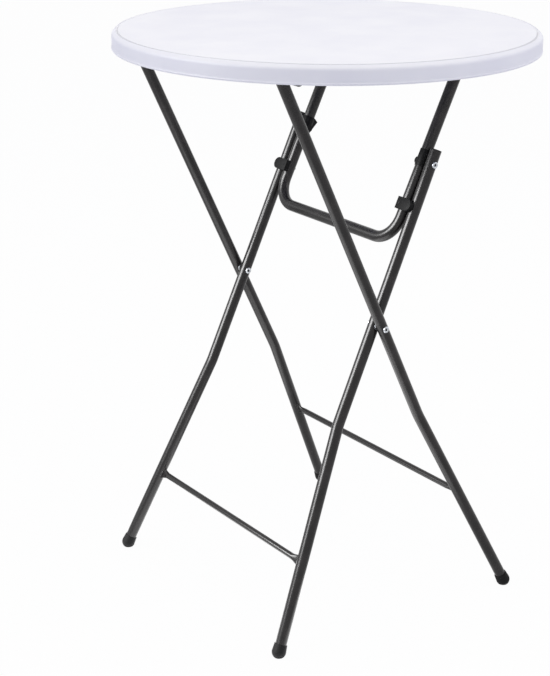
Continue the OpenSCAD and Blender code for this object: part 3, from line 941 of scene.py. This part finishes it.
@dataclass
class Crossbar:
    """A round bar whose ends are pressed flat and welded to two legs.

    The flare tells how late an end widens, and the squareness how far it is from an oval.
    """

    leg: Leg
    drop: float
    diameter: float = 12 * MM
    end_width: float = 22 * MM
    end_thickness: float = 5 * MM
    end_length: float = 20 * MM
    flare: float = 1.5
    squareness: float = 1.2
    sunk: float = 2.5 * MM
    bead_gap: float = 0.3 * MM
    sides: int = 40
    steps: int = 14

    def section(self, pressed: float, grow: float = 0.0) -> Outline:
        """The outline at one place of a pressed end.

        Args:
            pressed: from 0 where the bar is round to 1 at the leg.
            grow: extra on every side.

        Returns:
            Places in front of and above the bar's axis.
        """
        round_r = self.diameter / 2
        tall = round_r + (self.end_width / 2 - round_r) * pressed ** self.flare + grow
        thick = round_r + (self.end_thickness / 2 - round_r) * (pressed * (2 - pressed)) + grow
        power = 2 / (2 + self.squareness * pressed)
        outline = []
        for index in range(self.sides):
            angle = math.tau * index / self.sides
            c, s = math.cos(angle), math.sin(angle)
            outline.append((math.copysign(abs(c) ** power, c) * thick,
                            math.copysign(abs(s) ** power, s) * tall))
        return outline

    def build(self, name: str, place: Matrix) -> bpy.types.Object:
        """Lofts the bar between its legs.

        Args:
            name: the piece's name.
            place: the frame of reference.

        Returns:
            The bar.
        """
        end = self.leg.axis_y(self.drop) - self.leg.diameter / 2
        shares = [i / self.steps for i in range(self.steps + 1)]
        stations = [(end - self.end_length * (1 - share), share) for share in shares]
        stations.append((end + self.sunk, 1.0))
        rows = [(-y, pressed) for y, pressed in reversed(stations)] + stations
        corners = [place @ Vector((x, y, z - self.drop))
                   for y, pressed in rows for x, z in self.section(pressed)]
        count = self.sides
        faces: Faces = []
        for row in range(len(rows) - 1):
            for i in range(count):
                a, b = row * count + i, row * count + (i + 1) % count
                faces.append((a, b, b + count, a + count))
        faces += [tuple(range(count)), tuple(range(len(corners) - count, len(corners)))]
        return new_piece(name, corners, faces)

    def weld_paths(self, place: Matrix) -> list[Path]:
        """Follows the joint between each pressed end and its leg.

        Args:
            place: the frame of reference.

        Returns:
            One closed path for each end.
        """
        outline = self.section(1.0, self.bead_gap)
        return [[place @ Vector((x, way * self.leg.inner_face(x, self.drop - z), z - self.drop))
                 for x, z in outline] for way in (1, -1)]


@dataclass
class Shop:
    """What every sub-assembly is made with."""

    finishes: Finishes
    patterns: Patterns
    linkage: Linkage

    def tube(self, name: str, path: Path, place: Matrix, diameter: float, body: Body,
             node: str) -> None:
        """Makes a tube in place of a CAD node.

        Args:
            name: the piece's name.
            path: its axis in the frame of reference.
            place: the frame of reference.
            diameter: its outer diameter.
            body: the body that it rides on.
            node: the node that it stands for.
        """
        mesh = path_mesh([[place @ point for point in path]])
        piece = self.patterns.tube.cast(name, mesh, self.finishes.tube, {"Diameter": diameter})
        set_down(piece, self.finishes.tube, body, (node,))

    def weld(self, name: str, paths: list[Path], body: Body, bead: float) -> None:
        """Lays weld beads, coated with the tubes.

        Args:
            name: the piece's name.
            paths: the joints that they follow.
            body: the body that they ride on.
            bead: their diameter.
        """
        piece = self.patterns.weld.cast(name, path_mesh(paths, closed=True), self.finishes.tube,
                                        {"Bead diameter": bead})
        set_down(piece, self.finishes.tube, body, sharp=180)

    def rivets(self, name: str, places: Places, body: Body, nodes: tuple[str, ...],
               sizes: dict[str, float]) -> None:
        """Sets tubular rivets in place of CAD nodes.

        Args:
            name: the piece's name.
            places: the seat of each head and the way that it faces.
            body: the body that they ride on.
            nodes: the nodes that they stand for.
            sizes: sizes that differ from the usual ones.
        """
        piece = self.patterns.rivet.cast(name, place_mesh(places), self.finishes.zinc, sizes)
        set_down(piece, self.finishes.zinc, body, nodes)

    def screws(self, name: str, places: Places, body: Body, node: str, length: float,
               finish: Finish) -> None:
        """Sets screws in place of a CAD node.

        Args:
            name: the piece's name.
            places: the seat of each head and the way that it faces.
            body: the body that they ride on.
            node: the node that they stand for.
            length: length of the shank under the head.
            finish: their plating.
        """
        piece = self.patterns.screw.cast(name, place_mesh(places), finish, {"Shank length": length})
        set_down(piece, finish, body, (node,))

    def mouldings(self, nodes: tuple[str, ...], finish: Finish, body: Body,
                  rounding: float) -> None:
        """Replaces CAD nodes by the same solids with rounded edges.

        Args:
            nodes: the nodes.
            finish: their finish.
            body: the body that they ride on.
            rounding: width of the rounding.
        """
        for node in nodes:
            set_down(rounded_copy(node, rounding), finish, body, (node,), sharp=50)


@dataclass
class Tabletop:
    """The round top and what is screwed to its underside."""

    shop: Shop
    radius: float = 400 * MM
    height: float = 1100 * MM
    panel: float = 20 * MM
    rim: float = 34 * MM
    wall: float = 12 * MM
    wall_foot: float = 2 * MM
    panel_fillet: float = 1.5 * MM
    shoulder: float = 8 * MM
    band_slope: float = math.radians(38)
    band_start: float = 0.3 * MM
    groove_inset: float = 10.5 * MM
    groove_half: float = 2.3 * MM
    groove_depth: float = 1.9 * MM
    groove_roundness: float = 0.7
    groove_steps: int = 16
    lip: float = 5.5 * MM
    lip_out: float = 0.8 * MM
    lip_start: float = math.radians(42)
    above_lip: float = 1.2 * MM
    neck_drop: float = 0.5 * MM
    neck_out: float = 0.06 * MM
    bend_steps: int = 14
    fillet_steps: int = 5
    face_rings: tuple[float, ...] = (0, 0.2, 0.4, 0.6, 0.8, 0.92)
    underside_rings: tuple[float, ...] = (0.8, 0.5, 0.2, 0)
    sides: int = 288
    dimple_pitch: float = 72 * MM
    dimple_rings: int = 4
    innermost_dimples: int = 6
    dimple_room: float = 40 * MM
    hinge_base: float = 5 * MM
    hinge_screw: float = 23 * MM
    store_base: float = 3.6 * MM
    store_screw: float = 16 * MM
    screw_depth: float = 11 * MM
    rounding: float = 0.8 * MM

    def __post_init__(self) -> None:
        """Finds the underside and the middle of what is screwed to it."""
        self.underside = self.height - self.panel
        self.fixed: dict[str, Vector] = {}
        for kind in ("outer_hinge_block", "lock_hinge_block", "storage_clip"):
            for node in (f"{kind}_left", f"{kind}_right"):
                low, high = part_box(node)
                self.fixed[node] = (low + high) / 2

    def build(self) -> None:
        """Makes the top, the hinge blocks, the storage clips and their screws."""
        self.skin()
        finishes = self.shop.finishes
        self.shop.mouldings(tuple(self.fixed), finishes.plastic, Body.TABLETOP, self.rounding)
        down = Vector((0, 0, -1))
        for kind, node, aside, base in (
                ("hinge", "hinge_block_screws", self.hinge_screw, self.hinge_base),
                ("storage", "storage_clip_screws", self.store_screw, self.store_base)):
            seats = [(Vector((middle.x + way * aside, middle.y, self.underside - base)), down)
                     for fixed, middle in self.fixed.items() if kind in fixed for way in (1, -1)]
            self.shop.screws(f"{kind}_screws", seats, Body.TABLETOP, node,
                             base + self.screw_depth, finishes.zinc)

    def outline(self) -> Outline:
        """The section of the top, from the middle of its face to the middle of its underside.

        Returns:
            Distances from the middle, each with its height.
        """
        top, under, foot = self.height, self.underside, self.height - self.rim
        wall_r = self.radius - self.lip_out
        # The face and its groove.
        points = [(share * self.radius, top) for share in self.face_rings]
        middle = self.radius - self.groove_inset
        for i in range(self.groove_steps + 1):
            t = -math.cos(math.pi * i / self.groove_steps)
            dip = self.groove_depth * (1 - t * t) ** self.groove_roundness
            points.append((middle + t * self.groove_half,
                           top - dip - self.band_start * (t + 1) / 2))
        # The sloping band and its rounding into the wall.
        centre_r = wall_r - self.shoulder
        run = centre_r + self.shoulder * math.sin(self.band_slope) - (middle + self.groove_half)
        band_foot = top - self.band_start - run * math.tan(self.band_slope)
        centre_z = band_foot - self.shoulder * math.cos(self.band_slope)
        points += self.arc(centre_r, centre_z, self.shoulder, math.pi / 2 - self.band_slope, 0,
                           self.bend_steps)
        # The fine line above the lip, and the rolled lip.
        neck = foot + self.lip
        points += [(wall_r, neck + self.above_lip), (wall_r, neck),
                   (wall_r + self.neck_out, neck - self.neck_drop)]
        lip_r = self.lip / 2
        points += self.arc(self.radius - lip_r, foot + lip_r, lip_r, self.lip_start, -math.pi / 2,
                           self.bend_steps)
        # The inside of the rim, up to the underside.
        inner = wall_r - self.wall
        points += self.arc(inner + self.wall_foot, foot + self.wall_foot, self.wall_foot,
                           -math.pi / 2, -math.pi, self.fillet_steps)
        points += self.arc(inner - self.panel_fillet, under - self.panel_fillet,
                           self.panel_fillet, 0, math.pi / 2, self.fillet_steps)
        return points + [(share * self.radius, under) for share in self.underside_rings]

    @staticmethod
    def arc(centre_r: float, centre_z: float, radius: float, start: float, end: float,
            steps: int) -> Outline:
        """Points on an arc, in order.

        Args:
            centre_r: its centre's distance from the middle.
            centre_z: its centre's height.
            radius: its radius.
            start: angle of the first point.
            end: angle of the last.
            steps: number of steps.

        Returns:
            The points.
        """
        angles = [start + (end - start) * i / steps for i in range(steps + 1)]
        return [(centre_r + radius * math.cos(a), centre_z + radius * math.sin(a)) for a in angles]

    def skin(self) -> None:
        """Turns the section about the middle and presses the dimples into the underside."""
        points = self.outline()
        rings = points[1:-1]
        turns = [math.tau * i / self.sides for i in range(self.sides)]
        # Corners 0 and 1 are the middles of the face and of the underside, and the rings follow.
        corners = [Vector((0, 0, points[0][1])), Vector((0, 0, points[-1][1]))]
        corners += [Vector((r * math.cos(turn), r * math.sin(turn), z))
                    for r, z in rings for turn in turns]
        faces: Faces = []
        last = 2 + (len(rings) - 1) * self.sides
        for i in range(self.sides):
            j = (i + 1) % self.sides
            faces += [(0, 2 + i, 2 + j), (1, last + j, last + i)]
            for ring in range(len(rings) - 1):
                a, b = 2 + ring * self.sides + i, 2 + ring * self.sides + j
                faces.append((a, a + self.sides, b + self.sides, b))
        top = new_piece("moulded_top", corners, faces)
        finish = self.shop.finishes.top
        pegs = self.shop.patterns.dimple.cast("mould_pegs", place_mesh(self.dimple_places()), finish)
        pressing = top.modifiers.new("dimples", "BOOLEAN")
        pressing.operation = "DIFFERENCE"
        pressing.solver = "EXACT"
        pressing.object = pegs
        settle(top)
        bpy.data.objects.remove(pegs)
        set_down(top, finish, Body.TABLETOP, ("tabletop",), sharp=28)

    def dimple_places(self) -> Places:
        """Rings of places that keep clear of what is screwed to the top.

        Returns:
            Each dimple's place on the underside, and the way up.
        """
        places = []
        for ring in range(1, self.dimple_rings + 1):
            count = self.innermost_dimples * ring
            for index in range(count):
                angle = math.tau * (index + 0.5) / count
                place = ring * self.dimple_pitch * Vector((math.cos(angle), math.sin(angle)))
                gap = min((place - fixed.xy).length for fixed in self.fixed.values())
                if gap > self.dimple_room:
                    places.append((Vector((place.x, place.y, self.underside)), Vector((0, 0, 1))))
        return places


@dataclass
class LegPair:
    """Two legs of one frame, with what braces, plugs and shoes them."""

    shop: Shop
    body: Body
    place: Matrix
    leg: Leg
    bead: float = 2.4 * MM
    plug_rounding: float = 0.5 * MM
    foot_rounding: float = 0.6 * MM

    def __post_init__(self) -> None:
        """Finds the word that the names of the frame's pieces start with."""
        self.word = self.body.value.removesuffix("_frame")

    def legs(self) -> None:
        """Makes the two legs."""
        left = self.leg.path()
        for side, path in (("left", left), ("right", mirrored(left))):
            self.shop.tube(f"{self.word}_leg_tube_{side}", path, self.place, self.leg.diameter,
                           self.body, f"{self.word}_leg_{side}")

    def crossbar(self, drop: float) -> None:
        """Makes the crossbar and its welds.

        Args:
            drop: its distance below the scissor pivot.
        """
        bar = Crossbar(self.leg, drop)
        set_down(bar.build(f"{self.word}_crossbar_rod", self.place), self.shop.finishes.tube,
                 self.body, (f"{self.word}_crossbar",))
        self.shop.weld(f"{self.word}_crossbar_welds", bar.weld_paths(self.place), self.body,
                       self.bead)

    def ends(self, plugs: tuple[str, ...], rivets: str, facing: int) -> None:
        """Makes the plugs, the feet and the frame's half of the scissor's rivets.

        Args:
            plugs: the nodes of the plugs.
            rivets: the word that the names of the rivets start with.
            facing: 1 where their heads face outwards, and -1 where they face inwards.
        """
        finishes = self.shop.finishes
        self.shop.mouldings(plugs, finishes.plastic, self.body, self.plug_rounding)
        self.shop.mouldings((f"{self.word}_foot_left", f"{self.word}_foot_right"),
                            finishes.rubber, self.body, self.foot_rounding)
        tube = self.leg.diameter
        heads = []
        for y in both(self.leg.half):
            way = outwards(facing * y)
            heads.append((self.place @ Vector((0, y + way.y * tube / 2, 0)), way))
        self.shop.rivets(f"{rivets}_scissor_rivet_pair", heads, self.body,
                         (f"{rivets}_scissor_rivets",), {"Length": tube})


@dataclass
class OuterFrame:
    """The frame that hangs from its own hinge tube on the top."""

    shop: Shop
    tube: float = 21 * MM
    hinge_tube: float = 22 * MM
    hinge_stub: float = 8 * MM
    top: float = 7 * MM
    bend: float = 215 * MM
    bar_drop: float = 406 * MM
    foot_half: float = 305 * MM
    bead: float = 3 * MM
    bead_reach: float = 5.5 * MM
    bead_steps: int = 36

    def build(self) -> None:
        """Makes the legs, the crossbar, the hinge tube, the feet, the rivets and the welds."""
        link = self.shop.linkage
        body = Body.OUTER_FRAME
        place = link.outer
        hinge = place.inverted() @ link.outer_hinge
        half = link.outer_hinge_half - self.hinge_stub - self.tube / 2
        pair = LegPair(self.shop, body, place, Leg(
            half, hinge.z + self.top, self.bend, link.scissor.z / math.cos(link.outer_lean),
            self.foot_half, self.tube))
        pair.legs()
        ends = [Vector((hinge.x, y, hinge.z)) for y in both(link.outer_hinge_half)]
        self.shop.tube("outer_hinge_rod", ends, place, self.hinge_tube, body, "outer_hinge_tube")
        pair.crossbar(self.bar_drop)
        welds = [self.hinge_weld(place, hinge, y) for y in both(half)]
        self.shop.weld("outer_hinge_welds", welds, body, self.bead)
        pair.ends(("outer_hinge_plugs", "outer_leg_plugs"), "outer", 1)

    def hinge_weld(self, place: Matrix, hinge: Vector, y: float) -> Path:
        """Rings the spot where a leg lies against the hinge tube.

        Args:
            place: the frame of reference.
            hinge: the hinge tube's axis in it.
            y: the leg's place.

        Returns:
            A closed path.
        """
        path = []
        for i in range(self.bead_steps):
            angle = math.tau * i / self.bead_steps
            side, up = self.bead_reach * math.cos(angle), self.bead_reach * math.sin(angle)
            on_leg = math.sqrt((self.tube / 2) ** 2 - side * side)
            on_tube = hinge.x - math.sqrt((self.hinge_tube / 2) ** 2 - up * up)
            path.append(place @ Vector(((on_leg + on_tube) / 2, y + side, hinge.z + up)))
        return path


@dataclass
class MiddleFrame:
    """The frame that crosses the outer one and hangs from the lock bar."""

    shop: Shop
    tube: float = 22 * MM
    gap: float = 3.5 * MM
    toe: float = math.radians(0.7)
    top: float = 26 * MM
    bend: float = 200 * MM
    bar_drop: float = 460 * MM
    foot_half: float = 273 * MM

    def build(self) -> None:
        """Makes the legs, the crossbar, the feet, the plugs, the rivets and the welds."""
        link = self.shop.linkage
        outer_face = link.outer_hinge_half - OuterFrame.hinge_stub - OuterFrame.tube
        pair = LegPair(self.shop, Body.MIDDLE_FRAME, link.middle, Leg(
            outer_face - self.gap - self.tube / 2, link.rivet_up + self.top, self.bend,
            link.scissor.z / math.cos(link.middle_lean), self.foot_half, self.tube, self.toe))
        pair.legs()
        pair.crossbar(self.bar_drop)
        pair.ends(("middle_leg_plugs",), "inner", -1)


@dataclass
class LockBar:
    """The bent bar that locks the middle frame under the top."""

    shop: Shop
    tube: float = 22 * MM
    drop: float = 158.5 * MM
    bend_radius: float = 50 * MM
    stub: float = 3 * MM
    clip_drop: float = 86 * MM
    screw_length: float = 30 * MM
    head_height: float = 2 * MM
    head_diameter: float = 12.6 * MM
    arc_steps: int = 16
    bead: float = 3 * MM
    bead_steps: int = 64
    clip_rounding: float = 1.0 * MM
    block_rounding: float = 0.5 * MM

    def build(self) -> None:
        """Makes the bar, its hinge tube, clips, blocks, rivets, screws and welds."""
        link = self.shop.linkage
        finishes = self.shop.finishes
        body = Body.LOCK_BAR
        place = link.lock
        half = link.lock_hinge_half - self.stub - self.tube / 2
        self.shop.tube("lock_bar_tube", self.path(half), place, self.tube, body, "lock_bar")
        ends = [Vector((0, y, link.lock_reach)) for y in both(link.lock_hinge_half)]
        self.shop.tube("lock_hinge_rod", ends, place, self.tube, body, "lock_hinge_tube")
        saddles = [self.saddle(place, y) for y in both(half)]
        self.shop.weld("lock_hinge_welds", saddles, body, self.bead)
        self.shop.mouldings(("lock_clip_left", "lock_clip_right"), finishes.plastic, body,
                            self.clip_rounding)
        self.shop.mouldings(("pivot_block_left", "pivot_block_right", "lock_hinge_plugs"),
                            finishes.plastic, body, self.block_rounding)
        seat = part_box("lock_rivet_left")[1].y - self.head_height
        heads = [(place @ Vector((0, y, 0)), outwards(y)) for y in both(seat)]
        self.shop.rivets("lock_rivet_pair", heads, body, ("lock_rivet_left", "lock_rivet_right"), {
            "Length": seat - half + self.tube / 2, "Ring diameter": self.head_diameter,
            "Ring thickness": self.head_height})
        back = place.to_3x3() @ Vector((1, 0, 0))
        seats = [(place @ Vector((self.tube / 2, y, -self.clip_drop)), back) for y in both(half)]
        self.shop.screws("lock_clip_fixings", seats, body, "lock_clip_screws",
                         self.screw_length, finishes.black_zinc)

    def path(self, half: float) -> Path:
        """Follows the bar's axis from one arm to the other.

        Args:
            half: the arms' distance from the middle.

        Returns:
            The axis in the bar's frame of reference.
        """
        corner = half - self.bend_radius
        level = self.bend_radius - self.drop
        arm = [Vector((0, half, self.shop.linkage.lock_reach))]
        for i in range(self.arc_steps + 1):
            angle = math.pi / 2 * i / self.arc_steps
            arm.append(Vector((0, corner + self.bend_radius * math.cos(angle),
                               level - self.bend_radius * math.sin(angle))))
        return arm + mirrored(arm[::-1])

    def saddle(self, place: Matrix, y: float) -> Path:
        """Follows the joint between an arm and the hinge tube.

        Args:
            place: the frame of reference.
            y: the arm's place.

        Returns:
            A closed path.
        """
        r = self.tube / 2
        reach = self.shop.linkage.lock_reach
        turns = [math.tau * i / self.bead_steps for i in range(self.bead_steps)]
        return [place @ Vector((r * math.cos(a), y + r * math.sin(a), reach - r * abs(math.sin(a))))
                for a in turns]


@dataclass
class CameraView:
    """The photograph's camera, in metres and pixels of its 550 by 676 frame."""

    frame_size: tuple[int, int] = (550, 676)
    focal_px: float = 1588.4
    centre_px: tuple[float, float] = (260.75, 316.23)
    place: tuple[float, float, float] = (-1.81582, -2.3557, 1.55607)
    azimuth: float = -35.2993
    elevation: float = 19.0313
    roll: float = 0.1585
    sensor: float = 36.0
    sight: float = 50.0

    def build(self) -> None:
        """Makes the camera and sets it as the scene's."""
        data = bpy.data.cameras.new("photo_camera")
        data.sensor_width = self.sensor
        tall = max(self.frame_size)
        data.lens = self.focal_px * self.sensor / tall
        data.shift_x = (self.frame_size[0] / 2 - self.centre_px[0]) / tall
        data.shift_y = (self.centre_px[1] - self.frame_size[1] / 2) / tall
        data.clip_end = self.sight
        azimuth, elevation = math.radians(self.azimuth), math.radians(self.elevation)
        back = Vector((math.sin(azimuth) * math.cos(elevation),
                       -math.cos(azimuth) * math.cos(elevation), math.sin(elevation)))
        level = (-back).cross(Vector((0, 0, 1))).normalized()
        upright = level.cross(-back)
        turn = math.radians(self.roll)
        right = level * math.cos(turn) + upright * math.sin(turn)
        up = upright * math.cos(turn) - level * math.sin(turn)
        axes = Matrix((right, up, back)).transposed().to_4x4()
        camera = linked("photo_camera", data)
        camera.matrix_world = Matrix.Translation(self.place) @ axes
        bpy.context.scene.camera = camera


@dataclass(frozen=True)
class SoftBox:
    """A lamp with a plain rectangular face."""

    name: str
    place: tuple[float, float, float]
    size: tuple[float, float]
    power: float
    colour: tuple[float, float, float] = WHITE
    aim: tuple[float, float, float] = (0.0, 0.0, 0.7)
    gloss_only: bool = False

    def build(self) -> None:
        """Hangs the lamp and turns it to what it lights."""
        data = bpy.data.lights.new(self.name, "AREA")
        data.shape = "RECTANGLE"
        data.size, data.size_y = self.size
        data.energy = self.power
        data.color = self.colour
        box = linked(self.name, data)
        box.location = self.place
        aim = Vector(self.aim) - Vector(self.place)
        box.rotation_euler = aim.to_track_quat("-Z", "Y").to_euler()
        box.visible_diffuse = not self.gloss_only
        box.visible_camera = False


@dataclass
class Studio:
    """A plain pale floor and soft light."""

    floor_size: float = 24.0
    floor_colour: str = "#f4f4f4"
    floor_roughness: float = 0.9
    floor_glow: float = 0.97
    sky_colour: tuple[float, float, float] = (0.92, 0.94, 1.13)
    sky_strength: float = 0.54
    lamps: list[SoftBox] = field(default_factory=lambda: [
        SoftBox("top_lamp", (-0.3, -0.5, 3.4), (4.0, 4.0), 50.0, (1.0, 0.97, 0.76)),
        SoftBox("left_lamp", (-2.3, 1.9, 1.8), (1.4, 1.4), 8.5),
        SoftBox("right_lamp", (2.3, -1.9, 1.8), (1.4, 1.4), 10.5),
        SoftBox("strip_lamp", (-2.9, 0.9, 2.0), (2.0, 1.8), 300.0, gloss_only=True),
        SoftBox("floor_card", (-0.45, -0.05, 0.004), (0.9, 0.9), 5.6, aim=(-0.45, -0.05, 1.0),
                gloss_only=True),
    ])

    def build(self) -> None:
        """Makes the floor, the world and the lamps."""
        self.floor()
        self.world()
        for lamp in self.lamps:
            lamp.build()

    def floor(self) -> None:
        """A large sheet, white to the eye, that keeps the table's shadow."""
        half = self.floor_size / 2
        mesh = bpy.data.meshes.new("floor")
        corners = [(-half, -half, 0), (half, -half, 0), (half, half, 0), (-half, half, 0)]
        mesh.from_pydata(corners, [], [(0, 1, 2, 3)])
        material = bpy.data.materials.new("studio_paper")
        material.use_nodes = True
        made = Tree(material.node_tree)
        matte = made.tree.nodes["Principled BSDF"]
        made.feed(matte, {
            "Base Color": srgb(self.floor_colour), "Roughness": self.floor_roughness,
            "Specular IOR Level": 0.0})
        glow = made.node("ShaderNodeEmission", {"Color": (*WHITE, 1.0), "Strength": 1.0})
        share = made.node("ShaderNodeMath", {0: self.seen(made), 1: self.floor_glow},
                          operation="MULTIPLY")
        mixed = made.node("ShaderNodeMixShader", {0: share, 1: matte, 2: glow})
        made.feed(made.tree.nodes["Material Output"], {"Surface": mixed})
        mesh.materials.append(material)
        linked("floor", mesh)

    @staticmethod
    def seen(made: Tree) -> bpy.types.Node:
        """Finds out whether the eye sees the studio, straight or in gloss or glass.

        Args:
            made: the node tree.

        Returns:
            A node that gives 1 where it does, and else 0.
        """
        rays = made.node("ShaderNodeLightPath").outputs
        straight = made.node("ShaderNodeMath", {
            0: rays["Is Camera Ray"], 1: rays["Is Glossy Ray"]}, operation="MAXIMUM")
        return made.node("ShaderNodeMath", {
            0: straight, 1: rays["Is Transmission Ray"]}, operation="MAXIMUM")

    def world(self) -> None:
        """A soft pale sky, pure white where the eye sees it."""
        world = bpy.data.worlds.new("soft_sky")
        bpy.context.scene.world = world
        world.use_nodes = True
        made = Tree(world.node_tree)
        seen = self.seen(made)
        tint = made.node("ShaderNodeMix", {
            "Factor": seen, 6: (*self.sky_colour, 1.0), 7: (*WHITE, 1.0)}, data_type="RGBA")
        strength = made.node("ShaderNodeMapRange", {
            "Value": seen, "To Min": self.sky_strength, "To Max": 1.0})
        made.feed(made.tree.nodes["Background"], {"Color": tint.outputs[2], "Strength": strength})


def main() -> None:
    """Builds the table's sub-assemblies, the studio and the camera."""
    logging.basicConfig(level=logging.INFO)
    bpy.context.scene.view_settings.view_transform = "Standard"
    CameraView().build()
    Studio().build()
    shop = Shop(Finishes(), Patterns(), Linkage())
    for part in (Tabletop, OuterFrame, MiddleFrame, LockBar):
        part(shop).build()


if __name__ == "__main__":
    main()
